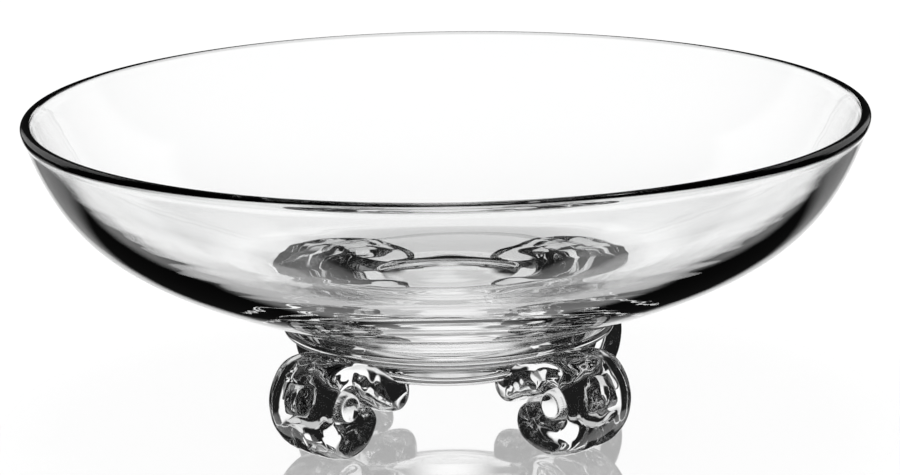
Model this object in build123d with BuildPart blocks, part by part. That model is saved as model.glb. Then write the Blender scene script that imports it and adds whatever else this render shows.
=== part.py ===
from build123d import *
from collections import namedtuple
import math
import os

# Clear glass bowl on four scroll feet
# Millimetres, +Z up, origin at floor level on the bowl's axis.
# The bowl's round bottom lies in a dished base pad, and the feet are fused under the pad.

# Bowl
rim_radius = 152.4
overall_height = 116.5
lip_radius = 2.1
lip_overhang = 1.48  # how far the lip stands out beyond the wall under it
lip_neck_drop = 3.9  # from the middle of the lip's round down to where the plain wall starts
wall_lean = 20.1  # degrees from upright, outside, just under the lip
inner_lean = 19.2  # the same, inside
wall_curve_high = 45.6  # pull of the outer curve at its top end
wall_curve_low = 63.2  # pull of the outer curve at its bottom end
seat_slope = 20.9  # degrees, outer curve where it leaves the base pad
seat_radius = 54.0
seat_height = 39.5
bottom_height = 34.5  # the bowl's bottom on its axis, inside the pad's dish
bottom_curve = 22.0
floor_thickness = 16.4  # glass on the axis, from the bowl's bottom to its inner floor
floor_edge_radius = 77.4  # where the flat inner floor turns up into the wall
floor_edge_height = 56.5
floor_edge_slope = 21.2  # degrees
floor_curve_low = 45.0  # pulls of the inner curve, from the axis to the lip
floor_curve_high = 15.5
inner_curve_low = 31.0
inner_curve_high = 43.0

# Base pad
pad_edge_radius = 60.3
pad_edge_height = 37.0
pad_edge_thickness = 3.2
pad_edge_reach = 1.5  # how far the rounded edge bulges
boss_radius = 48.5
boss_shoulder_height = 33.2
boss_bottom_height = 21.9
boss_flat_radius = 31.0
boss_shoulder_pull = 4.6
boss_side_pull = 12.0
pontil_radius = 27.5
pontil_depth = 1.6

# Scroll foot, seen from its side, with the roll's eye as the centre of the turns
foot_circle_radius = 61.0
roll_radius = 18.6
ground_flat_depth = 0.25  # ground off under each roll so that it stands on a flat
shoulder_bulge = 2.2  # how much fuller the roll is on its upper outer side
band_width = 26.5
band_corner = 4.6
eye_bulb_radius = 6.1
eye_bulb_width = 22.0
eye_bulb_rise = 0.7
crease = 0.8  # gap between the rolled-up end and the band round it
tail_thickness = 15.0
tail_climb = 2.8  # rise of the tail's middle line from its tip to the side of the boss
tip_thickness_share = 0.40  # of the tail's thickness, at the very tip
tip_width_share = 0.35  # of the band's width, at the very tip
tip_round_thickness_share = 0.75  # the same two, a little behind the tip
tip_round_width_share = 0.57
tail_width_share = 0.75
tail_root_width_share = 0.90  # where the tail passes the side of the roll
climb_share = 0.4  # of the roll's radius, where the band climbs to the top of the roll
side_bulge_share = 0.7  # of the shoulder's bulge, halfway down the outer side
under_bulge_share = -0.3  # the roll is drawn in a little before it reaches the ground
nose_width_shares = (0.97, 0.93, 0.87, 0.78, 0.65)  # of the band's width, on the way to the nose
nose_lap_shares = (0.95, 0.78)  # of the lap's radius, just before the nose
corner_share = 0.45  # largest corner radius, as a share of the band's thickness

# The feet are rolled up by hand and differ a little
# Place is in degrees round the axis from +X, lap is the radius of the inner lap, reach goes from
# the eye inward to the tail's tip, and rise is the height of the tail's tip above the eye.
Foot = namedtuple("Foot", "place lap reach rise")
feet = {
    "scroll_foot_front_left": Foot(place=225.0, lap=17.0, reach=35.2, rise=0.2),
    "scroll_foot_front_right": Foot(place=315.0, lap=21.6, reach=33.0, rise=3.4),
    "scroll_foot_back_right": Foot(place=43.5, lap=17.5, reach=34.0, rise=1.4),
    "scroll_foot_back_left": Foot(place=129.0, lap=17.5, reach=34.0, rise=1.4),
}


def polar(start, pull, degrees):
    """A point that lies a pull away from a start, at an angle from the outward direction."""
    angle = math.radians(degrees)
    return (start[0] + pull * math.cos(angle), start[1] + pull * math.sin(angle))


# Outline points that the bowl and the pad share
seat_rim = (seat_radius, seat_height)
bottom_middle = (0, bottom_height)
dish_pulls = [(bottom_curve, bottom_height), polar(seat_rim, -bottom_curve, seat_slope)]

# Bowl
lip_middle = (rim_radius - lip_radius, overall_height - lip_radius)
lip_outside = (rim_radius, lip_middle[1])
lip_top = (lip_middle[0], overall_height)
lip_inside = polar(lip_middle, lip_radius, 180 - inner_lean)
outer_neck = (rim_radius - lip_overhang, lip_middle[1] - lip_neck_drop)
floor_edge = (floor_edge_radius, floor_edge_height)
floor_height = bottom_height + floor_thickness
wall_up = 90 - wall_lean
neck_pull = lip_neck_drop / 2

with BuildPart() as bowl:
    with BuildSketch(Plane.XZ):
        with BuildLine():
            Bezier(bottom_middle, *dish_pulls, seat_rim)
            Bezier(
                seat_rim,
                polar(seat_rim, wall_curve_low, seat_slope),
                polar(outer_neck, -wall_curve_high, wall_up),
                outer_neck,
            )
            Bezier(
                outer_neck,
                polar(outer_neck, neck_pull, wall_up),
                polar(lip_outside, -neck_pull, 90),
                lip_outside,
            )
            ThreePointArc(lip_outside, lip_top, lip_inside)
            Bezier(
                lip_inside,
                polar(lip_inside, -inner_curve_high, 90 - inner_lean),
                polar(floor_edge, inner_curve_low, floor_edge_slope),
                floor_edge,
            )
            Bezier(
                floor_edge,
                polar(floor_edge, -floor_curve_high, floor_edge_slope),
                (floor_curve_low, floor_height),
                (0, floor_height),
            )
            Line((0, floor_height), bottom_middle)
        make_face()
    revolve(axis=Axis.Z)

# Base pad
edge_root = pad_edge_radius - pad_edge_reach
edge_top = (edge_root, pad_edge_height + pad_edge_thickness / 2)
edge_bottom = (edge_root, pad_edge_height - pad_edge_thickness / 2)
boss_shoulder = (boss_radius, boss_shoulder_height)
boss_flat = (boss_flat_radius, boss_bottom_height)
pontil_rim = (pontil_radius, boss_bottom_height)
pontil_middle = (0, boss_bottom_height + pontil_depth)
pontil_ball = (pontil_radius**2 + pontil_depth**2) / (2 * pontil_depth)
half_pontil = pontil_radius / 2
half_pontil_rise = pontil_depth - pontil_ball + math.sqrt(pontil_ball**2 - half_pontil**2)

with BuildPart() as base_pad:
    with BuildSketch(Plane.XZ):
        with BuildLine():
            Bezier(bottom_middle, *dish_pulls, seat_rim)
            Line(seat_rim, edge_top)
            ThreePointArc(edge_top, (pad_edge_radius, pad_edge_height), edge_bottom)
            Line(edge_bottom, boss_shoulder)
            Bezier(
                boss_shoulder,
                (boss_radius - boss_shoulder_pull, boss_shoulder_height - boss_shoulder_pull / 4),
                (boss_flat_radius + boss_side_pull, boss_bottom_height),
                boss_flat,
            )
            Line(boss_flat, pontil_rim)
            ThreePointArc(
                pontil_rim,
                (half_pontil, boss_bottom_height + half_pontil_rise),
                pontil_middle,
            )
            Line(pontil_middle, bottom_middle)
        make_face()
    revolve(axis=Axis.Z)

# Scroll foot: a band that starts under the boss as a tail and rolls up into its eye
eye = (foot_circle_radius, roll_radius - ground_flat_depth)
core = eye_bulb_radius + crease
joined = eye_bulb_radius - eye_bulb_rise  # inside radius where the rolled-up end joins the band


def tail_stations(foot):
    """Way inward from the eye, height above it, thickness and width, from the tip outward."""
    half = tail_thickness / 2
    tip = (tip_thickness_share * tail_thickness, tip_width_share * band_width)
    behind_tip = (tip_round_thickness_share * tail_thickness, tip_round_width_share * band_width)
    return [
        (foot.reach, foot.rise, *tip),
        (foot.reach - half / 3, foot.rise, *behind_tip),
        (foot.reach - half, foot.rise, tail_thickness, tail_width_share * band_width),
        (roll_radius, foot.rise + tail_climb, tail_thickness, tail_root_width_share * band_width),
        (climb_share * roll_radius, roll_radius / 2, tail_thickness, band_width),
    ]


def roll_stations(foot):
    """Turn from the top in degrees, outside radius, inside radius and width, down to the nose."""
    shoulder = roll_radius + shoulder_bulge
    side = roll_radius + side_bulge_share * shoulder_bulge
    under = roll_radius + under_bulge_share * shoulder_bulge
    narrowing = [share * band_width for share in nose_width_shares]
    laps = [share * foot.lap for share in nose_lap_shares]
    return [
        (0, roll_radius, core + eye_bulb_rise, band_width),
        (35, shoulder, core + eye_bulb_rise, band_width),
        (70, side, core + eye_bulb_rise / 2, band_width),
        (105, roll_radius, core, band_width),
        (140, under, core - eye_bulb_rise, band_width),
        (175, roll_radius, joined, band_width),
        (205, (2 * roll_radius + foot.lap) / 3, joined, narrowing[0]),
        (230, foot.lap, joined, narrowing[1]),
        (248, laps[0], joined, narrowing[2]),
        (262, laps[1], joined - eye_bulb_rise, narrowing[3]),
        (274, core + crease, joined - 2 * eye_bulb_rise, narrowing[4]),
    ]


def scroll_sections(foot):
    """Planes across the band with the width and thickness of the band in each."""
    middles = []
    sizes = []
    for inward, rise, thickness, width in tail_stations(foot):
        middles.append((eye[0] - inward, eye[1] + rise))
        sizes.append((width, thickness))
    for turn, outside, inside, width in roll_stations(foot):
        middles.append(polar(eye, (outside + inside) / 2, 90 - turn))
        sizes.append((width, outside - inside))
    sections = []
    for index, (width, thickness) in enumerate(sizes):
        before = middles[max(index - 1, 0)]
        after = middles[min(index + 1, len(middles) - 1)]
        along = (after[0] - before[0], 0, after[1] - before[1])
        middle = (middles[index][0], 0, middles[index][1])
        sections.append((Plane(origin=middle, x_dir=(0, 1, 0), z_dir=along), width, thickness))
    return sections


pieces = {"bowl": bowl.part, "base_pad": base_pad.part}
for name, foot in feet.items():
    with BuildPart() as scroll:
        for plane, width, thickness in scroll_sections(foot):
            with BuildSketch(plane):
                RectangleRounded(width, thickness, min(band_corner, corner_share * thickness))
        loft()
        with BuildSketch(Plane.XZ.offset(-eye_bulb_width / 2)):
            with Locations((eye[0], eye[1] + eye_bulb_rise)):
                Circle(eye_bulb_radius)
        extrude(amount=eye_bulb_width)
        add(base_pad.part, mode=Mode.SUBTRACT)
        add(bowl.part, mode=Mode.SUBTRACT)
        split(bisect_by=Plane.XY, keep=Keep.TOP)
    pieces[name] = scroll.part.rotate(Axis.Z, foot.place)

# Each piece is written under its own name
os.makedirs("parts", exist_ok=True)
for name, piece in pieces.items():
    piece.label = name
    export_step(piece, f"parts/{name}.step")
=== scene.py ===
"""Dresses a clear glass bowl on four scroll feet and sets it in a plain white studio."""

import logging
import math
from dataclasses import dataclass
from enum import Enum
from typing import Iterable, Sequence

import bmesh
import bpy
from mathutils import Matrix, Vector
from mathutils.geometry import interpolate_bezier

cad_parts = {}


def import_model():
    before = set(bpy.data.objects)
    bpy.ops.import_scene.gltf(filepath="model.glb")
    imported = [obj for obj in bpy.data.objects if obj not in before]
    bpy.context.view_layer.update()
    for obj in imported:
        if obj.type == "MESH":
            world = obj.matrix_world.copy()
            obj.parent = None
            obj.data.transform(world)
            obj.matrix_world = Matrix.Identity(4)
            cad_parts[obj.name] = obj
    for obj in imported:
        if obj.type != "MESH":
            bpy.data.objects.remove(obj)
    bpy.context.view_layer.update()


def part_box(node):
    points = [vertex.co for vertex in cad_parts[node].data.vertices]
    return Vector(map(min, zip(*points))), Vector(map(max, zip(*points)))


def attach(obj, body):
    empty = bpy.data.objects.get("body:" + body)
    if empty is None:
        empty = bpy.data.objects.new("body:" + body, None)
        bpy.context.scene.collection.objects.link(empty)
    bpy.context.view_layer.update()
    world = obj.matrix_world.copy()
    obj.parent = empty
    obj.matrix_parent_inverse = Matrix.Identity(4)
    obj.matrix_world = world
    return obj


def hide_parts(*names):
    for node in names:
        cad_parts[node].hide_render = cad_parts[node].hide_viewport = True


LOG = logging.getLogger("glass_bowl")
MM = 0.001
BODY = "root"
MERGE_DISTANCE = 1e-6
TURN_STEPS = 288
WHITE = (1.0, 1.0, 1.0, 1.0)

Point = tuple[float, float]
Colour = tuple[float, float, float, float]
Socket = bpy.types.NodeSocket


class Face(Enum):
    """Material slots that every glass piece has, in order."""

    POLISHED = 0
    FUSED = 1
    OTHER = 2


class Combine(Enum):
    """What a piece does with another closed piece."""

    JOIN = "UNION"
    CUT = "DIFFERENCE"


class Facing(Enum):
    """Which way the melted face of a piece looks."""

    UP = 1
    DOWN = -1


def polar(start: Point, pull: float, degrees: float) -> Point:
    """Finds the point that lies a pull away from a start.

    Args:
        start: Radius and height of the start, in millimetres.
        pull: Distance from the start.
        degrees: Direction, counted from straight outward.

    Returns:
        Radius and height of the point.
    """
    angle = math.radians(degrees)
    return (start[0] + pull * math.cos(angle), start[1] + pull * math.sin(angle))


def bent(points: Sequence[Point], steps: int) -> list[Vector]:
    """Follows one Bezier stretch of an outline.

    Args:
        points: Start, two pulls and end, as radius and height in millimetres.
        steps: Number of points to return.

    Returns:
        Points in the XZ plane, in metres.
    """
    return interpolate_bezier(*[Vector((r * MM, 0, z * MM)) for r, z in points], steps)


def straight(start: Point, end: Point, steps: int) -> list[Vector]:
    """Follows one straight stretch of an outline.

    Args:
        start: Radius and height of its start, in millimetres.
        end: Radius and height of its end.
        steps: Number of steps that it is divided into.

    Returns:
        Points in the XZ plane, in metres.
    """
    first = Vector((start[0] * MM, 0, start[1] * MM))
    last = Vector((end[0] * MM, 0, end[1] * MM))
    return [first.lerp(last, step / steps) for step in range(steps + 1)]


def joined(stretches: Iterable[list[Vector]]) -> list[Vector]:
    """Strings outline stretches together and drops the points that they share.

    Args:
        stretches: The stretches in order.

    Returns:
        Points of the whole outline.
    """
    outline: list[Vector] = []
    for stretch in stretches:
        for point in stretch:
            if not outline or (point - outline[-1]).length > MERGE_DISTANCE:
                outline.append(point)
    return outline


def turned(outline: Sequence[Vector]) -> bmesh.types.BMesh:
    """Turns an outline that starts and ends on the axis into a closed round solid.

    Args:
        outline: Points in the XZ plane, in metres.

    Returns:
        The closed mesh, with its faces pointing outward.
    """
    mesh = bmesh.new()
    verts = [mesh.verts.new(point) for point in outline]
    edges = [mesh.edges.new(pair) for pair in zip(verts, verts[1:])]
    bmesh.ops.spin(
        mesh, geom=verts + edges, cent=(0, 0, 0), axis=(0, 0, 1),
        angle=2 * math.pi, steps=TURN_STEPS, use_merge=True,
    )
    bmesh.ops.remove_doubles(mesh, verts=mesh.verts, dist=MERGE_DISTANCE)
    bmesh.ops.recalc_face_normals(mesh, faces=mesh.faces)
    return mesh


def placed(name: str, mesh: bmesh.types.BMesh) -> bpy.types.Object:
    """Turns a finished mesh into an object at the origin, with smooth faces.

    Args:
        name: Name of the object.
        mesh: The mesh, which is freed.

    Returns:
        The object, linked to the scene.
    """
    for face in mesh.faces:
        face.smooth = True
    data = bpy.data.meshes.new(name)
    mesh.to_mesh(data)
    mesh.free()
    piece = bpy.data.objects.new(name, data)
    bpy.context.scene.collection.objects.link(piece)
    return piece


def settled(piece: bpy.types.Object) -> None:
    """Replaces a piece's mesh by what its modifiers make of it and drops the modifiers.

    Args:
        piece: The piece.
    """
    graph = bpy.context.evaluated_depsgraph_get()
    made = bpy.data.meshes.new_from_object(piece.evaluated_get(graph))
    old = piece.data
    piece.modifiers.clear()
    piece.data = made
    bpy.data.meshes.remove(old)


def combined(piece: bpy.types.Object, other: bpy.types.Object, way: Combine) -> None:
    """Joins a piece with another closed piece, or cuts it by one, and keeps the result.

    Args:
        piece: The piece that changes.
        other: The piece that it is combined with, which stays as it is.
        way: What is done.
    """
    change = piece.modifiers.new("combine", "BOOLEAN")
    change.operation = way.value
    change.solver = "EXACT"
    change.object = other
    settled(piece)


def creased(piece: bpy.types.Object, degrees: float = 35.0) -> None:
    """Keeps a piece smooth, but breaks its shading at folds and round fused faces.

    Args:
        piece: The piece.
        degrees: Folds sharper than this are broken.
    """
    mesh = bmesh.new()
    mesh.from_mesh(piece.data)
    for face in mesh.faces:
        face.smooth = True
    for edge in mesh.edges:
        kinds = {face.material_index for face in edge.link_faces}
        edge.smooth = len(kinds) == 1 and edge.calc_face_angle(0.0) < math.radians(degrees)
    mesh.to_mesh(piece.data)
    mesh.free()


@dataclass
class NodeBoard:
    """A node tree with short ways to add and join nodes."""

    tree: bpy.types.NodeTree

    def add(self, kind: str, **settings: object) -> bpy.types.Node:
        """Adds a node and sets its own properties.

        Args:
            kind: Type of the node.
            settings: Its properties.

        Returns:
            The node.
        """
        node = self.tree.nodes.new(kind)
        for name, value in settings.items():
            setattr(node, name, value)
        return node

    def feed(self, socket: Socket, source: object) -> None:
        """Links an output to a socket, or sets the socket to a plain value.

        Args:
            socket: Input of a node.
            source: Output of another node, or the value.
        """
        if isinstance(source, bpy.types.NodeSocket):
            self.tree.links.new(source, socket)
        else:
            socket.default_value = source

    def math(self, operation: str, *sources: object) -> Socket:
        """Works out one number from others.

        Args:
            operation: What is done with them.
            sources: The others, as outputs or plain values.

        Returns:
            The number.
        """
        node = self.add("ShaderNodeMath", operation=operation)
        for socket, source in zip(node.inputs, sources):
            self.feed(socket, source)
        return node.outputs[0]

    def ramp(self, source: object, between: Point, start: float, end: float) -> Socket:
        """Goes smoothly from a start to an end value while a number passes between two others.

        Args:
            source: The number.
            between: The two others.
            start: Value below the first of them.
            end: Value above the second.

        Returns:
            The value.
        """
        node = self.add("ShaderNodeMapRange", interpolation_type="SMOOTHSTEP")
        names = ("Value", "From Min", "From Max", "To Min", "To Max")
        for name, value in zip(names, (source, *between, start, end)):
            self.feed(node.inputs[name], value)
        return node.outputs[0]

    def swung(self, angle: object, between: Point, start: float, end: float) -> Socket:
        """The same for an angle in radians that passes between two others in degrees."""
        low, high = between
        return self.ramp(angle, (math.radians(low), math.radians(high)), start, end)

    def band(self, angle: object, start: Point, end: Point) -> Socket:
        """Finds whether an angle lies in a band with soft ends.

        Args:
            angle: The angle, in radians.
            start: Where the band begins and where it is full, in degrees.
            end: Where it begins to fade and where it is gone, in degrees.

        Returns:
            One in the band and nought beside it.
        """
        rise = self.swung(angle, start, 0, 1)
        fall = self.swung(angle, end, 1, 0)
        return self.math("MULTIPLY", rise, fall)

    def mixed(self, share: object, first: object, second: object) -> Socket:
        """Goes from a first to a second value as a share goes from nought to one.

        Args:
            share: The share.
            first: Value at nought.
            second: Value at one.

        Returns:
            The value.
        """
        node = self.add("ShaderNodeMix", data_type="FLOAT")
        sockets = (node.inputs[0], node.inputs[2], node.inputs[3])
        for socket, source in zip(sockets, (share, first, second)):
            self.feed(socket, source)
        return node.outputs[0]

    def noise(self, place: Socket, size: float) -> Socket:
        """Makes a soft uneven height.

        Args:
            place: Place on the piece.
            size: About how far the swells lie apart, in metres.

        Returns:
            The height, from nought to one.
        """
        node = self.add("ShaderNodeTexNoise")
        node.inputs["Scale"].default_value = 1 / size
        node.inputs["Detail"].default_value = 1.0
        self.feed(node.inputs["Vector"], place)
        return node.outputs["Fac"]

    def bump(self, height: Socket, depth: float, under: Socket | None = None) -> Socket:
        """Turns a height into a slightly tilted surface.

        Args:
            height: The height, from nought to one.
            depth: What a height of one stands for, in metres.
            under: Another tilted surface that this one lies on.

        Returns:
            The normal of the surface.
        """
        node = self.add("ShaderNodeBump")
        node.inputs["Distance"].default_value = depth
        self.feed(node.inputs["Height"], height)
        if under:
            self.feed(node.inputs["Normal"], under)
        return node.outputs["Normal"]

    def turned_round(self, source: Socket) -> Socket:
        """Turns a direction to its opposite.

        Args:
            source: The direction.

        Returns:
            The opposite direction.
        """
        node = self.add("ShaderNodeVectorMath", operation="SCALE")
        self.feed(node.inputs[0], source)
        node.inputs["Scale"].default_value = -1.0
        return node.outputs[0]

    def length(self, source: Socket) -> Socket:
        """Measures how far a place lies from the origin.

        Args:
            source: The place.

        Returns:
            The distance.
        """
        node = self.add("ShaderNodeVectorMath", operation="LENGTH")
        self.feed(node.inputs[0], source)
        return node.outputs["Value"]

    def place(self) -> Socket:
        """Place on the piece, in the piece's own coordinates."""
        return self.add("ShaderNodeTexCoord").outputs["Object"]

    def path(self, kind: str) -> Socket:
        """One fact about the light path, by the name of its output."""
        return self.add("ShaderNodeLightPath").outputs[kind]

    def reflected(self) -> Socket:
        """One for a path that has been reflected on its way, otherwise nought."""
        return self.math("MINIMUM", self.path("Glossy Depth"), 1.0)

    def reflected_often(self) -> Socket:
        """One for a path that has been reflected three times or more, otherwise nought."""
        return self.math("GREATER_THAN", self.path("Glossy Depth"), 2.5)

    def crossed(self) -> Socket:
        """One for a path that has gone through glass on its way, otherwise nought."""
        return self.math("MINIMUM", self.path("Transmission Depth"), 1.0)

    def seen(self) -> Socket:
        """One for the camera's own rays and for what glass and gloss show, otherwise nought."""
        shown = self.math("MAXIMUM", self.path("Is Camera Ray"), self.path("Is Glossy Ray"))
        return self.math("MAXIMUM", shown, self.path("Is Transmission Ray"))


@dataclass(frozen=True)
class ClearGlass:
    """Colourless fire-polished crystal with the swells and rings of hand work. Sizes in metres."""

    name: str
    ior: float = 1.53
    tint: Colour = (0.985, 0.99, 0.99, 1.0)
    wave_size: float = 0.045
    wave_depth: float = 0.00003
    ring_size: float = 0.006
    ring_depth: float = 0.00005
    ring_drift: float = 0.06
    ring_start: Point = (0.068, 0.09)

    def material(self) -> bpy.types.Material:
        """Builds the node material.

        Returns:
            The material.
        """
        made = bpy.data.materials.new(self.name)
        made.use_nodes = True
        board = NodeBoard(made.node_tree)
        glass = made.node_tree.nodes["Principled BSDF"]
        glass.inputs["IOR"].default_value = self.ior
        glass.inputs["Transmission Weight"].default_value = 1.0
        glass.inputs["Roughness"].default_value = 0.0
        where = board.place()
        waves = board.noise(where, self.wave_size)
        swell = board.bump(waves, self.wave_depth)
        rings = self.rings(board, where)
        board.feed(glass.inputs["Normal"], board.bump(rings, self.ring_depth, swell))
        shade = board.add("ShaderNodeValToRGB")
        shade.color_ramp.elements[0].color = self.tint
        shade.color_ramp.elements[1].color = WHITE
        board.feed(shade.inputs["Fac"], waves)
        board.feed(glass.inputs["Base Color"], shade.outputs["Color"])
        return made

    def rings(self, board: NodeBoard, where: Socket) -> Socket:
        """Uneven height in rings round the axis, that drift a little on the way round.

        Args:
            board: The node tree of the glass.
            where: Place on the piece.

        Returns:
            The height, which is nought inside the start of the wall.
        """
        split = board.add("ShaderNodeSeparateXYZ")
        board.feed(split.inputs[0], where)
        squares = [board.math("POWER", split.outputs[name], 2.0) for name in ("X", "Y")]
        radius = board.math("SQRT", board.math("ADD", *squares))
        place = board.add("ShaderNodeCombineXYZ")
        board.feed(place.inputs["X"], radius)
        board.feed(place.inputs["Y"], split.outputs["Z"])
        board.feed(place.inputs["Z"], board.math("MULTIPLY", split.outputs["X"], self.ring_drift))
        wall = board.ramp(radius, self.ring_start, 0.0, 1.0)
        return board.math("MULTIPLY", wall, board.noise(place.outputs[0], self.ring_size))


@dataclass(frozen=True)
class FusedGlass:
    """Inner face where two gathers have melted together, which no longer shows."""

    name: str

    def material(self) -> bpy.types.Material:
        """Builds the node material.

        Returns:
            The material.
        """
        made = bpy.data.materials.new(self.name)
        made.use_nodes = True
        tree = made.node_tree
        tree.nodes.remove(tree.nodes["Principled BSDF"])
        clear = tree.nodes.new("ShaderNodeBsdfTransparent")
        tree.links.new(clear.outputs["BSDF"], tree.nodes["Material Output"].inputs["Surface"])
        return made


class GlassPiece:
    """What the bowl, its pad and its feet have in common."""

    def dress(
        self, piece: bpy.types.Object, glass: bpy.types.Material, joint: bpy.types.Material
    ) -> None:
        """Gives a piece its glass and the finish of its melted faces.

        Args:
            piece: The piece.
            glass: Finish of its polished faces.
            joint: Finish of the faces that are melted to another piece.
        """
        for material in (glass, joint, joint):
            piece.data.materials.append(material)


@dataclass(frozen=True)
class Dish:
    """The round bottom of the bowl, which lies in the base pad. Sizes in millimetres."""

    radius: float = 54.0
    height: float = 39.5
    slope: float = 20.9
    bottom: float = 34.5
    pull: float = 22.0
    slack: float = 1.0
    steps: int = 24

    @property
    def rim(self) -> Point:
        """Where the bowl leaves the pad."""
        return (self.radius, self.height)

    def outline(self) -> list[Vector]:
        """The dish from the axis to its rim."""
        pulls = [(self.pull, self.bottom), polar(self.rim, -self.pull, self.slope)]
        return bent([(0, self.bottom), *pulls, self.rim], self.steps)

    def holds(self, face: bmesh.types.BMFace, facing: Facing) -> bool:
        """Tells whether a face of the bowl or the pad lies in the dish.

        Args:
            face: The face.
            facing: Which way such a face looks.

        Returns:
            True for a face in the dish.
        """
        reach = max(vert.co.xy.length for vert in face.verts)
        rise = max(vert.co.z for vert in face.verts)
        within = reach < self.radius * MM + MERGE_DISTANCE
        lowest = (self.bottom - self.slack) * MM
        between = lowest < rise < self.height * MM + MERGE_DISTANCE
        return within and between and face.normal.z * facing.value > 0

    def marked(self, mesh: bmesh.types.BMesh, facing: Facing) -> bmesh.types.BMesh:
        """Marks the faces of the bowl or the pad that are melted together in the dish.

        Args:
            mesh: The mesh of the bowl or the pad.
            facing: Which way its melted face looks.

        Returns:
            The same mesh.
        """
        for face in mesh.faces:
            kind = Face.FUSED if self.holds(face, facing) else Face.POLISHED
            face.material_index = kind.value
        return mesh


@dataclass
class Bowl(GlassPiece):
    """The blown bowl. Sizes in millimetres; the rim and height come from the frame."""

    rim_radius: float
    overall_height: float
    dish: Dish
    lip_radius: float = 2.1
    lip_overhang: float = 1.48
    neck_drop: float = 3.9
    wall_lean: float = 20.1
    inner_lean: float = 19.2
    outer_pull_high: float = 45.6
    outer_pull_low: float = 63.2
    floor_thickness: float = 16.4
    floor_edge: Point = (77.4, 56.5)
    floor_slope: float = 21.2
    floor_pull_low: float = 45.0
    floor_pull_high: float = 15.5
    inner_pull_low: float = 31.0
    inner_pull_high: float = 43.0
    wall_steps: int = 64
    neck_steps: int = 10
    lip_steps: int = 24
    inner_steps: int = 48
    floor_steps: int = 32

    def outline(self) -> list[Vector]:
        """Follows the whole profile, from the bottom on the axis over the lip to the inner floor.

        Returns:
            Points in the XZ plane, in metres.
        """
        middle = (self.rim_radius - self.lip_radius, self.overall_height - self.lip_radius)
        neck = (self.rim_radius - self.lip_overhang, middle[1] - self.neck_drop)
        outside = (self.rim_radius, middle[1])
        inside = polar(middle, self.lip_radius, 180 - self.inner_lean)
        up = 90 - self.wall_lean
        pull = self.neck_drop / 2
        floor = self.dish.bottom + self.floor_thickness
        outer_wall = [
            self.dish.rim,
            polar(self.dish.rim, self.outer_pull_low, self.dish.slope),
            polar(neck, -self.outer_pull_high, up),
            neck,
        ]
        under_lip = [neck, polar(neck, pull, up), polar(outside, -pull, 90), outside]
        inner_wall = [
            inside,
            polar(inside, -self.inner_pull_high, 90 - self.inner_lean),
            polar(self.floor_edge, self.inner_pull_low, self.floor_slope),
            self.floor_edge,
        ]
        inner_floor = [
            self.floor_edge,
            polar(self.floor_edge, -self.floor_pull_high, self.floor_slope),
            (self.floor_pull_low, floor),
            (0, floor),
        ]
        return joined([
            self.dish.outline(),
            bent(outer_wall, self.wall_steps),
            bent(under_lip, self.neck_steps),
            self.lip(middle),
            bent(inner_wall, self.inner_steps),
            bent(inner_floor, self.floor_steps),
        ])

    def lip(self, middle: Point) -> list[Vector]:
        """Follows the rounded top of the wall, from its outside to its inside.

        Args:
            middle: Middle of the round, as radius and height in millimetres.

        Returns:
            Points in the XZ plane, in metres.
        """
        steps = self.lip_steps
        turn = 180 - self.inner_lean
        rim = [polar(middle, self.lip_radius, turn * step / steps) for step in range(steps + 1)]
        return [Vector((r * MM, 0, z * MM)) for r, z in rim]

    def build(self) -> bpy.types.Object:
        """Makes the bowl and marks the face that is fused to the pad."""
        mesh = self.dish.marked(turned(self.outline()), Facing.DOWN)
        return placed("bowl_glass", mesh)


@dataclass
class BasePad(GlassPiece):
    """The second gather under the bowl. Sizes in millimetres; the edge comes from the frame."""

    edge_radius: float
    dish: Dish
    edge_height: float = 37.0
    edge_thickness: float = 3.2
    edge_reach: float = 1.5
    boss_radius: float = 48.5
    boss_shoulder: float = 33.2
    boss_bottom: float = 21.9
    boss_flat: float = 31.0
    shoulder_pull: float = 4.6
    side_pull: float = 12.0
    pontil_radius: float = 27.5
    pontil_depth: float = 5.5
    ledge_steps: int = 4
    edge_steps: int = 14
    under_steps: int = 8
    side_steps: int = 32
    flat_steps: int = 5
    hollow_steps: int = 16

    def outline(self) -> list[Vector]:
        """Follows the whole profile, from the middle of the dish round the edge to the pontil hollow.

        Returns:
            Points in the XZ plane, in metres.
        """
        root = self.edge_radius - self.edge_reach
        top = (root, self.edge_height + self.edge_thickness / 2)
        bottom = (root, self.edge_height - self.edge_thickness / 2)
        # A bend whose pulls go out four thirds of the way reaches the full way in its middle
        bulge = self.edge_reach * 4 / 3
        edge = [top, (root + bulge, top[1]), (root + bulge, bottom[1]), bottom]
        shoulder = (self.boss_radius, self.boss_shoulder)
        side = [
            shoulder,
            (self.boss_radius - self.shoulder_pull, self.boss_shoulder - self.shoulder_pull / 4),
            (self.boss_flat + self.side_pull, self.boss_bottom),
            (self.boss_flat, self.boss_bottom),
        ]
        rim = (self.pontil_radius, self.boss_bottom)
        third = self.pontil_radius / 3
        middle = (0, self.boss_bottom + self.pontil_depth)
        hollow = [rim, (2 * third, rim[1] + self.pontil_depth * 2 / 3), (third, middle[1]), middle]
        return joined([
            self.dish.outline(),
            straight(self.dish.rim, top, self.ledge_steps),
            bent(edge, self.edge_steps),
            straight(bottom, shoulder, self.under_steps),
            bent(side, self.side_steps),
            straight(side[-1], rim, self.flat_steps),
            bent(hollow, self.hollow_steps),
        ])

    def build(self) -> bpy.types.Object:
        """Makes the pad and marks the face that is fused to the bowl."""
        mesh = self.dish.marked(turned(self.outline()), Facing.UP)
        return placed("base_pad_glass", mesh)


@dataclass(frozen=True)
class Station:
    """One place along the band of a scroll foot, in millimetres, seen from the side."""

    out: float
    up: float
    thickness: float
    width: float
    heading: float


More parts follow.
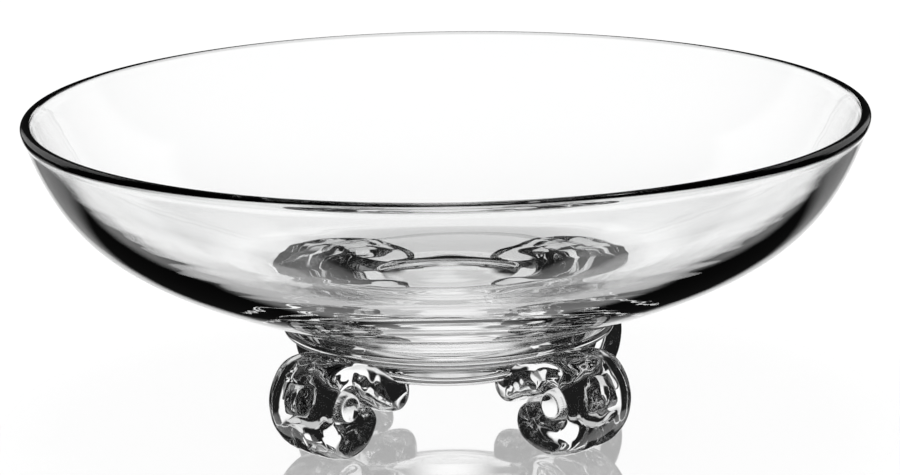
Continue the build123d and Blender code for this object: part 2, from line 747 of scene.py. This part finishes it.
@dataclass
class ScrollFoot(GlassPiece):
    """A thick band that starts under the pad as a tail and rolls up into its eye.

    Sizes are in millimetres and angles in degrees. The place is the turn round the bowl's axis, the lap
    is the radius of the inner lap, reach goes from the eye inward to the tail's tip, and rise is the
    height of that tip above the eye. Shares are of the tail's thickness, the band's width, the roll's
    radius, the bulge or the lap.
    """

    side: str
    place: float
    lap: float
    reach: float
    rise: float
    circle_radius: float = 61.0
    roll_radius: float = 18.6
    ground: float = 0.25
    bulge: float = 2.2
    band_width: float = 26.5
    bulb_radius: float = 6.1
    bulb_width: float = 22.0
    bulb_rise: float = 0.7
    bulb_dome: float = 1.0
    crease: float = 0.8
    tail_thickness: float = 15.0
    tail_climb: float = 2.8
    tail_headings: tuple[float, ...] = (0, 2, 5, 24, 29)
    tip_shares: Point = (0.40, 0.35)
    behind_tip_shares: Point = (0.75, 0.57)
    tail_width_share: float = 0.75
    root_width_share: float = 0.9
    climb_share: float = 0.4
    side_bulge_share: float = 0.7
    under_bulge_share: float = -0.3
    nose_width_shares: tuple[float, ...] = (0.97, 0.93, 0.87, 0.78, 0.65)
    nose_lap_shares: Point = (0.95, 0.78)
    squareness: float = 3.6
    ring_points: int = 40
    steps_between: int = 6

    @property
    def eye(self) -> Point:
        """Middle of the roll, as distance from the axis and height."""
        return (self.circle_radius, self.roll_radius - self.ground)

    def tail(self) -> list[Station]:
        """Places the band from the tail's tip to the top of the roll.

        Returns:
            The stations in order.
        """
        half = self.tail_thickness / 2
        # Way inward from the eye, height above it, and shares of the thickness and the width
        rows = [
            (self.reach, self.rise, *self.tip_shares),
            (self.reach - half / 3, self.rise, *self.behind_tip_shares),
            (self.reach - half, self.rise, 1.0, self.tail_width_share),
            (self.roll_radius, self.rise + self.tail_climb, 1.0, self.root_width_share),
            (self.climb_share * self.roll_radius, self.roll_radius / 2, 1.0, 1.0),
        ]
        stations = []
        for (inward, up, thick, wide), heading in zip(rows, self.tail_headings):
            thickness = thick * self.tail_thickness
            width = wide * self.band_width
            stations.append(Station(self.eye[0] - inward, self.eye[1] + up, thickness, width, heading))
        return stations

    def roll(self) -> list[Station]:
        """Places the band round the roll, from its top over the outside down to the nose.

        Returns:
            The stations in order.
        """
        core = self.bulb_radius + self.crease
        inner = self.bulb_radius - 3 * self.bulb_rise
        shoulder = self.roll_radius + self.bulge
        side = self.roll_radius + self.side_bulge_share * self.bulge
        under = self.roll_radius + self.under_bulge_share * self.bulge
        laps = [share * self.lap for share in self.nose_lap_shares]
        nose = self.nose_width_shares
        # Turn from the top, outside radius, inside radius and share of the width
        rows = [
            (0, self.roll_radius, core + self.bulb_rise, 1.0),
            (35, shoulder, core + self.bulb_rise, 1.0),
            (70, side, core + self.bulb_rise / 2, 1.0),
            (105, self.roll_radius, core, 1.0),
            (140, under, core - self.bulb_rise, 1.0),
            (175, self.roll_radius, inner, 1.0),
            (205, (2 * self.roll_radius + self.lap) / 3, inner, nose[0]),
            (230, self.lap, inner, nose[1]),
            (248, laps[0], inner, nose[2]),
            (262, laps[1], inner - self.bulb_rise, nose[3]),
            (274, core + self.crease, inner - 2 * self.bulb_rise, nose[4]),
        ]
        stations = []
        for turn, outside, inside, share in rows:
            out, up = polar(self.eye, (outside + inside) / 2, 90 - turn)
            stations.append(Station(out, up, outside - inside, share * self.band_width, -turn))
        return stations

    def run(self) -> list[Station]:
        """Fills in the whole band smoothly, from the tail's tip to the nose.

        Returns:
            The stations in order.
        """
        keys = self.tail() + self.roll()
        rows = [Vector((s.out, s.up, s.thickness, s.width, s.heading)) for s in keys]
        filled = []
        for index in range(len(rows) - 1):
            start = rows[index]
            end = rows[index + 1]
            before = rows[max(index - 1, 0)]
            after = rows[min(index + 2, len(rows) - 1)]
            # A sixth of the way between its neighbours makes the run pass each station smoothly
            leave = start + (end - before) / 6
            arrive = end - (after - start) / 6
            for step in range(self.steps_between):
                t = step / self.steps_between
                s = 1 - t
                row = start * s**3 + leave * 3 * s * s * t + arrive * 3 * s * t * t + end * t**3
                filled.append(Station(*row))
        filled.append(keys[-1])
        return filled

    def ring(
        self, mesh: bmesh.types.BMesh, frame: Matrix, size: Station
    ) -> list[bmesh.types.BMEdge]:
        """Adds one cross-section of the band, a rectangle with well rounded corners.

        Args:
            mesh: The mesh that gets the ring.
            frame: Place of the section: X across the thickness, Y across the width.
            size: Thickness and width there.

        Returns:
            The edges of the ring.
        """
        made = bmesh.ops.create_circle(mesh, cap_ends=False, radius=1.0, segments=self.ring_points)
        power = 2 / self.squareness
        for vert in made["verts"]:
            vert.co.x = math.copysign(abs(vert.co.x) ** power, vert.co.x) * size.thickness * MM / 2
            vert.co.y = math.copysign(abs(vert.co.y) ** power, vert.co.y) * size.width * MM / 2
        bmesh.ops.transform(mesh, matrix=frame, verts=made["verts"])
        return list({edge for vert in made["verts"] for edge in vert.link_edges})

    def band(self) -> bpy.types.Object:
        """Lays rings along the run, bridges them and rounds the result.

        Returns:
            The band as a closed piece.
        """
        mesh = bmesh.new()
        rings = []
        for station in self.run():
            heading = math.radians(station.heading)
            along = Vector((math.cos(heading), 0, math.sin(heading)))
            across = Vector((0, 1, 0)).cross(along)
            frame = Matrix((across, Vector((0, 1, 0)), along)).transposed().to_4x4()
            frame.translation = Vector((station.out, 0, station.up)) * MM
            rings.append(self.ring(mesh, frame, station))
        for first, second in zip(rings, rings[1:]):
            bmesh.ops.bridge_loops(mesh, edges=first + second)
        bmesh.ops.contextual_create(mesh, geom=rings[0])
        bmesh.ops.contextual_create(mesh, geom=rings[-1])
        bmesh.ops.recalc_face_normals(mesh, faces=mesh.faces)
        piece = placed(f"scroll_foot_{self.side}_glass", mesh)
        self.rounded(piece, levels=1)
        return piece

    def bulb(self) -> bpy.types.Object:
        """Makes the rolled-up end inside the band, a short rod with domed ends.

        Returns:
            The end as a closed piece.
        """
        mesh = bmesh.new()
        upright = Matrix.Rotation(math.pi / 2, 4, "X")
        upright.translation = Vector((self.eye[0], 0, self.eye[1] + self.bulb_rise)) * MM
        radius = self.bulb_radius * MM
        bmesh.ops.create_cone(
            mesh, cap_ends=True, cap_tris=False, segments=self.ring_points,
            radius1=radius, radius2=radius, depth=self.bulb_width * MM, matrix=upright,
        )
        ends = [face for face in mesh.faces if len(face.verts) == self.ring_points]
        bmesh.ops.inset_region(mesh, faces=ends, thickness=radius / 3, depth=self.bulb_dome * MM)
        piece = placed("rolled_end", mesh)
        self.rounded(piece, levels=2)
        return piece

    def rounded(self, piece: bpy.types.Object, levels: int) -> None:
        """Rounds a coarse cage into a smooth form.

        Args:
            piece: The cage.
            levels: How often its faces are divided.
        """
        smooth = piece.modifiers.new("round", "SUBSURF")
        smooth.levels = levels
        smooth.render_levels = levels
        settled(piece)

    def build(self) -> bpy.types.Object:
        """Rolls the band round its end, grinds the flat and turns the foot to its place.

        Returns:
            The foot.
        """
        piece = self.band()
        end = self.bulb()
        combined(piece, end, Combine.JOIN)
        bpy.data.objects.remove(end)
        mesh = bmesh.new()
        mesh.from_mesh(piece.data)
        everything = list(mesh.verts) + list(mesh.edges) + list(mesh.faces)
        cut = bmesh.ops.bisect_plane(
            mesh, geom=everything, plane_co=(0, 0, 0), plane_no=(0, 0, -1), clear_outer=True,
        )
        rim = [item for item in cut["geom_cut"] if isinstance(item, bmesh.types.BMEdge)]
        bmesh.ops.triangle_fill(mesh, use_beauty=True, edges=rim)
        turn = Matrix.Rotation(math.radians(self.place), 4, "Z")
        bmesh.ops.transform(mesh, matrix=turn, verts=mesh.verts)
        bmesh.ops.recalc_face_normals(mesh, faces=mesh.faces)
        for face in mesh.faces:
            face.smooth = True
        mesh.to_mesh(piece.data)
        mesh.free()
        return piece


@dataclass
class FusedBase:
    """Seats the feet on the pad, so that each pair shares one melted face."""

    pad: bpy.types.Object
    feet: list[bpy.types.Object]

    def seat(self) -> None:
        """Cuts the feet to the pad and marks the shared faces on both."""
        grown = self.copied(self.pad, "pad_and_feet")
        mesh = bmesh.new()
        for foot in self.feet:
            mesh.from_mesh(foot.data)
        cluster = placed("all_feet", mesh)
        cluster.data.materials.clear()
        for material in self.pad.data.materials:
            cluster.data.materials.append(material)
        self.marked(cluster, Face.OTHER)
        combined(grown, cluster, Combine.JOIN)
        cutter = self.copied(self.pad, "whole_pad")
        self.marked(cutter, Face.FUSED)
        for foot in self.feet:
            combined(foot, cutter, Combine.CUT)
        self.closed_with_seats(grown)
        for extra in (grown, cluster, cutter):
            bpy.data.objects.remove(extra)

    def closed_with_seats(self, grown: bpy.types.Object) -> None:
        """Gives the pad its outside from the joined shape and its seats from the feet.

        Args:
            grown: The pad joined with the feet.
        """
        mesh = bmesh.new()
        mesh.from_mesh(grown.data)
        other = [face for face in mesh.faces if face.material_index == Face.OTHER.value]
        bmesh.ops.delete(mesh, geom=other, context="FACES")
        for foot in self.feet:
            seat = bmesh.new()
            seat.from_mesh(foot.data)
            rest = [face for face in seat.faces if face.material_index != Face.FUSED.value]
            bmesh.ops.delete(seat, geom=rest, context="FACES")
            bmesh.ops.reverse_faces(seat, faces=seat.faces)
            flipped = bpy.data.meshes.new("seat")
            seat.to_mesh(flipped)
            seat.free()
            mesh.from_mesh(flipped)
            bpy.data.meshes.remove(flipped)
        bmesh.ops.remove_doubles(mesh, verts=mesh.verts, dist=MERGE_DISTANCE)
        open_edges = sum(1 for edge in mesh.edges if not edge.is_manifold)
        LOG.info("pad with seats: %d faces, %d open edges", len(mesh.faces), open_edges)
        mesh.to_mesh(self.pad.data)
        mesh.free()

    def copied(self, piece: bpy.types.Object, name: str) -> bpy.types.Object:
        """Copies a piece with its own mesh.

        Args:
            piece: The piece.
            name: Name of the copy.

        Returns:
            The copy, linked to the scene.
        """
        twin = piece.copy()
        twin.data = piece.data.copy()
        twin.name = name
        bpy.context.scene.collection.objects.link(twin)
        return twin

    def marked(self, piece: bpy.types.Object, kind: Face) -> None:
        """Gives all faces of a piece one material slot."""
        for polygon in piece.data.polygons:
            polygon.material_index = kind.value


@dataclass
class FootedBowl:
    """The whole bowl with its pad and feet. Sizes in millimetres, from the frame."""

    rim_radius: float
    overall_height: float
    pad_radius: float
    feet: tuple[ScrollFoot, ...] = (
        ScrollFoot("front_left", place=225.0, lap=17.0, reach=35.2, rise=0.2),
        ScrollFoot("front_right", place=315.0, lap=21.6, reach=33.0, rise=3.4),
        ScrollFoot("back_right", place=43.5, lap=17.5, reach=34.0, rise=1.4),
        ScrollFoot("back_left", place=129.0, lap=17.5, reach=34.0, rise=1.4),
    )
    blown: ClearGlass = ClearGlass("clear crystal")
    rolled: ClearGlass = ClearGlass("rolled crystal", wave_size=0.011, wave_depth=0.0014)
    melted: FusedGlass = FusedGlass("melted joint")

    def build(self) -> list[bpy.types.Object]:
        """Makes every piece, dresses it in glass and fuses the feet to the pad.

        Returns:
            The bowl, the pad and the feet.
        """
        dish = Dish()
        blown = self.blown.material()
        rolled = self.rolled.material()
        melted = self.melted.material()
        kinds = [
            (Bowl(self.rim_radius, self.overall_height, dish), blown),
            (BasePad(self.pad_radius, dish), blown),
            *[(foot, rolled) for foot in self.feet],
        ]
        pieces = []
        for kind, glass in kinds:
            piece = kind.build()
            kind.dress(piece, glass, melted)
            pieces.append(piece)
        pad, *feet = pieces[1:]
        FusedBase(pad, feet).seat()
        for piece in pieces:
            piece.data.materials.pop(index=Face.OTHER.value)
            creased(piece)
        return pieces


@dataclass(frozen=True)
class Card:
    """A white card that the glass mirrors, with its ranges of turn and height in degrees."""

    level: float
    turn: Point
    height: Point
    soft_turn: float = 4.0
    soft_height: float = 3.0

    def light(self, board: NodeBoard, turn: Socket, height: Socket) -> Socket:
        """Brightness of the card in a direction, with soft edges.

        Args:
            board: The node tree of the floor or the world.
            turn: Turn of the ray, in radians.
            height: Height of the ray, in radians.

        Returns:
            The brightness, where one is white.
        """
        wide = board.band(turn, *self.ends(self.turn, self.soft_turn))
        tall = board.band(height, *self.ends(self.height, self.soft_height))
        return board.math("MULTIPLY", board.math("MULTIPLY", wide, tall), self.level)

    def ends(self, between: Point, soft: float) -> tuple[Point, Point]:
        """Soft ends on both sides of a range."""
        low, high = between
        return ((low - soft, low + soft), (high - soft, high + soft))


@dataclass
class Studio:
    """White glossy floor, white backdrop in a dark room, a soft lamp and the camera.

    Distances are in metres, the lens and its sensor in millimetres and angles in degrees, apart from the
    flags' lean, in radians. Turns count from straight behind the bowl, the same to the left and the right,
    and heights from level. A level is a brightness, where one is white. Apart from the lamp's size, a pair
    is where a change begins and where it is complete.
    """

    camera_back: float = 1.2983
    camera_height: float = 0.3845
    pitch: float = 13.684
    roll: float = 0.944
    lens: float = 147.3
    sensor: float = 36.0
    shift: float = 0.0029
    sight: float = 50.0
    lamp_size: Point = (0.5, 0.9)
    lamp_place: tuple[float, float, float] = (0, 0.1, 1.3)
    lamp_power: float = 6.0
    bounces: int = 20
    gloss_bounces: int = 12
    clear_bounces: int = 32
    floor_radius: float = 9.0
    floor_gap: float = 0.00015
    floor_segments: int = 96
    floor_colour: Colour = (0.9, 0.9, 0.9, 1.0)
    floor_level: float = 1.03
    paint_share: float = 0.15
    mirror_least: float = 0.03
    mirror_most: float = 0.62
    mirror_facing: Point = (0.35, 0.8)
    mirror_reach: Point = (0.11, 0.22)
    mirror_roughness: float = 0.04
    room_level: float = 0.012
    backdrop_level: float = 1.1
    backdrop_foot: Point = (-36, -24)
    backdrop_foot_level: float = 0.86
    backdrop_top: Point = (2, 20)
    backdrop_top_share: float = 0.3
    flag_start: Point = (11.5, 15.5)
    flag_end: Point = (21, 26)
    # Painted shade: close to the feet the floor glows dark to the glass this far round
    painted_shade_end_by_feet: Point = (54, 64)
    flag_bottom: Point = (-36, -28)
    flag_lean: float = 0.1
    flag_lean_height: Point = (-17, -8)
    # Painted shade: distances from the axis within which the floor is painted darker to the glass round
    # the feet
    painted_shade_reach: Point = (0.17, 0.24)
    outer_cards: tuple[Card, ...] = (
        Card(1.0, (-10, 19), (-27, -10)),
        Card(0.5, (15, 48), (-27, -17)),
        Card(1.0, (-10, 6), (-60, -24)),
        Card(0.6, (22, 60), (-4, 40)),
        Card(1.0, (42, 75), (-60, -28)),
        Card(1.0, (-10, 120), (-100, -52)),
    )
    inner_cards: tuple[Card, ...] = (
        Card(1.0, (-10, 6), (-27, 8)),
        Card(0.7, (6, 38), (-8, 26)),
        Card(0.8, (-10, 14), (26, 37)),
        Card(0.6, (8, 48), (-54, -28)),
        Card(0.8, (-10, 10), (-100, -36)),
        Card(0.75, (24, 110), (-72, -54)),
    )
    deep_cards: tuple[Card, ...] = (
        Card(1.0, (-10, 18), (-22, 11)),
        Card(1.0, (-10, 20), (23, 75)),
        Card(0.85, (8, 42), (-5, 26)),
        Card(0.95, (-10, 14), (-62, -30)),
    )

    def seen_in_glass(self, board: NodeBoard, way: Socket, near: object = 0.0) -> Socket:
        """Brightness of the studio in a direction, as the glass shows it.

        What is seen straight through the glass is the backdrop between its flags. What is mirrored by
        the outside of the glass, once or twice inside it, or more often, is the dark room with its cards.

        Args:
            board: The node tree of the floor or the world.
            way: Direction of the ray.
            near: One close to the feet, where the floor's glow to the glass is painted dark farther round
                than the flags reach, as painted shade; otherwise nought.

        Returns:
            The brightness, where one is white.
        """
        split = board.add("ShaderNodeSeparateXYZ")
        board.feed(split.inputs[0], way)
        turn = board.math("ABSOLUTE", board.math("ARCTAN2", split.outputs["X"], split.outputs["Y"]))
        height = board.math("ARCSINE", split.outputs["Z"])
        behind = self.behind(board, turn, height, near)
        outer = self.lit(board, turn, height, self.outer_cards)
        inner = self.lit(board, turn, height, self.inner_cards)
        deep = self.lit(board, turn, height, self.deep_cards)
        mirrored_inside = board.mixed(board.reflected_often(), inner, deep)
        mirrored = board.mixed(board.crossed(), outer, mirrored_inside)
        return board.mixed(board.reflected(), behind, mirrored)

    def behind(self, board: NodeBoard, turn: Socket, height: Socket, near: object) -> Socket:
        """Brightness of the white backdrop with a black flag on either side.

        Args:
            board: The node tree of the floor or the world.
            turn: Turn of the ray, in radians.
            height: Height of the ray, in radians.
            near: One close to the feet, otherwise nought.

        Returns:
            The brightness, where one is white.
        """
        lean = board.swung(height, self.flag_lean_height, 0, self.flag_lean)
        aside = board.math("SUBTRACT", turn, lean)
        narrow = board.band(aside, self.flag_start, self.flag_end)
        # Painted shade: close to the feet the floor paints this dark band farther round than the flags,
        # and only the glass shows it
        wide = board.band(aside, self.flag_start, self.painted_shade_end_by_feet)
        above = board.swung(height, self.flag_bottom, 0, 1)
        flags = board.math("MULTIPLY", board.mixed(near, narrow, wide), above)
        low = board.swung(height, self.backdrop_foot, self.backdrop_foot_level, self.backdrop_level)
        high = board.swung(height, self.backdrop_top, 1, self.backdrop_top_share)
        white = board.math("MULTIPLY", low, high)
        shown = board.math("MULTIPLY", white, board.math("SUBTRACT", 1, flags))
        return board.math("MAXIMUM", shown, self.room_level)

    def lit(self, board: NodeBoard, turn: Socket, height: Socket, cards: Iterable[Card]) -> Socket:
        """Brightness of the dark room with some white cards in it.

        Args:
            board: The node tree of the floor or the world.
            turn: Turn of the ray, in radians.
            height: Height of the ray, in radians.
            cards: The cards.

        Returns:
            The brightness, where one is white.
        """
        total = self.room_level
        for card in cards:
            total = board.math("MAXIMUM", total, card.light(board, turn, height))
        return total

    def floor(self) -> None:
        """A plain white floor that mirrors the feet at low angles."""
        mesh = bmesh.new()
        bmesh.ops.create_circle(
            mesh, cap_ends=True, radius=self.floor_radius, segments=self.floor_segments,
            matrix=Matrix.Translation((0, 0, -self.floor_gap)),
        )
        floor = placed("floor", mesh)
        floor.data.materials.append(self.floor_finish())

    def floor_finish(self) -> bpy.types.Material:
        """White paint and an even glow under a sheen that only the camera sees. To the glass the floor
        glows instead with the painted light and shade of the studio.

        Returns:
            The material.
        """
        made = bpy.data.materials.new("white floor with painted studio glow")
        made.use_nodes = True
        board = NodeBoard(made.node_tree)
        made.node_tree.nodes.remove(made.node_tree.nodes["Principled BSDF"])
        camera = board.path("Is Camera Ray")
        away = board.length(board.place())
        mirror = board.add("ShaderNodeBsdfGlossy")
        mirror.inputs["Roughness"].default_value = self.mirror_roughness
        mirror.inputs["Color"].default_value = WHITE
        facing = board.add("ShaderNodeLayerWeight").outputs["Facing"]
        low_angle = board.ramp(facing, self.mirror_facing, self.mirror_least, self.mirror_most)
        sheen = board.math("MULTIPLY", low_angle, board.ramp(away, self.mirror_reach, 1.0, 0.0))
        top = board.add("ShaderNodeMixShader")
        board.feed(top.inputs[0], board.math("MULTIPLY", camera, sheen))
        board.feed(top.inputs[1], self.paint_and_painted_studio_glow(board, camera, away))
        board.feed(top.inputs[2], mirror.outputs[0])
        board.feed(made.node_tree.nodes["Material Output"].inputs["Surface"], top.outputs[0])
        return made

    def paint_and_painted_studio_glow(self, board: NodeBoard, camera: Socket, away: Socket) -> Socket:
        """White to the camera, a painted glow of the studio's light and shade to the glass, and plain
        paint to all other light.

        Args:
            board: The node tree of the floor.
            camera: One for the camera's own rays.
            away: Distance from the bowl's axis.

        Returns:
            The shader.
        """
        paint = board.add("ShaderNodeBsdfDiffuse")
        paint.inputs["Color"].default_value = self.floor_colour
        glow = board.add("ShaderNodeEmission")
        way = board.turned_round(board.add("ShaderNodeNewGeometry").outputs["Incoming"])
        # Painted shade: one close to the feet, where the floor shows the glass a wider dark band
        by_feet = board.ramp(away, self.painted_shade_reach, 1.0, 0.0)
        # Painted light and shade: to the glass the floor glows with the studio's backdrop, flags, cards
        # and dark room by the ray's direction, not as white paint
        in_glass = self.seen_in_glass(board, way, by_feet)
        board.feed(glow.inputs["Strength"], board.mixed(camera, in_glass, self.floor_level))
        base = board.add("ShaderNodeMixShader")
        painted = board.math("MULTIPLY", camera, self.paint_share)
        board.feed(base.inputs[0], board.math("SUBTRACT", board.seen(), painted))
        board.feed(base.inputs[1], paint.outputs[0])
        board.feed(base.inputs[2], glow.outputs[0])
        return base.outputs[0]

    def surround(self) -> None:
        """A dark room with a white backdrop, plain white to the camera and the floor."""
        world = bpy.data.worlds.new("dark room with white backdrop")
        bpy.context.scene.world = world
        world.use_nodes = True
        board = NodeBoard(world.node_tree)
        where = board.add("ShaderNodeTexCoord")
        shown = self.seen_in_glass(board, where.outputs["Generated"])
        blurred = board.math("SUBTRACT", board.path("Is Glossy Ray"), board.path("Is Singular Ray"))
        plain = board.math("MAXIMUM", board.path("Is Camera Ray"), board.path("Is Diffuse Ray"))
        plain = board.math("MAXIMUM", plain, blurred)
        sky = world.node_tree.nodes["Background"]
        board.feed(sky.inputs["Strength"], board.mixed(plain, shown, 1.0))
        sky.inputs["Color"].default_value = WHITE

    def lamps(self) -> None:
        """One soft lamp overhead."""
        data = bpy.data.lights.new("soft top", "AREA")
        data.shape = "RECTANGLE"
        data.size, data.size_y = self.lamp_size
        data.energy = self.lamp_power
        lamp = bpy.data.objects.new("soft top", data)
        lamp.visible_glossy = False
        lamp.visible_transmission = False
        lamp.location = self.lamp_place
        bpy.context.scene.collection.objects.link(lamp)

    def camera(self) -> None:
        """Stands the camera where the photo was taken."""
        data = bpy.data.cameras.new("camera")
        data.lens = self.lens
        data.sensor_width = self.sensor
        data.shift_x = self.shift
        data.clip_end = self.sight
        eye = bpy.data.objects.new("camera", data)
        aim = Matrix.Rotation(math.radians(90 - self.pitch), 4, "X")
        tip = Matrix.Rotation(math.radians(-self.roll), 4, "Z")
        stand = Matrix.Translation((0, -self.camera_back, self.camera_height))
        eye.matrix_world = stand @ aim @ tip
        bpy.context.scene.collection.objects.link(eye)
        bpy.context.scene.camera = eye

    def build(self) -> None:
        """Sets everything up."""
        scene = bpy.context.scene
        scene.view_settings.view_transform = "Standard"
        scene.cycles.max_bounces = self.bounces
        scene.cycles.transmission_bounces = self.bounces
        scene.cycles.glossy_bounces = self.gloss_bounces
        scene.cycles.transparent_max_bounces = self.clear_bounces
        self.floor()
        self.surround()
        self.lamps()
        self.camera()


def finished(piece: bpy.types.Object, node: str) -> None:
    """Lets a piece stand for its CAD node and ride on the part's one body.

    Args:
        piece: The piece.
        node: Name of the CAD node.
    """
    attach(piece, BODY)
    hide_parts(node)
    LOG.info("%s stands for %s with %d faces", piece.name, node, len(piece.data.polygons))


def main() -> None:
    """Builds the glass pieces in order and sets the studio."""
    logging.basicConfig(level=logging.INFO)
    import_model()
    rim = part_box("bowl")[1]
    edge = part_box("base_pad")[1]
    for piece in FootedBowl(rim.x / MM, rim.z / MM, edge.x / MM).build():
        finished(piece, piece.name.removesuffix("_glass"))
    Studio().build()


if __name__ == "__main__":
    main()
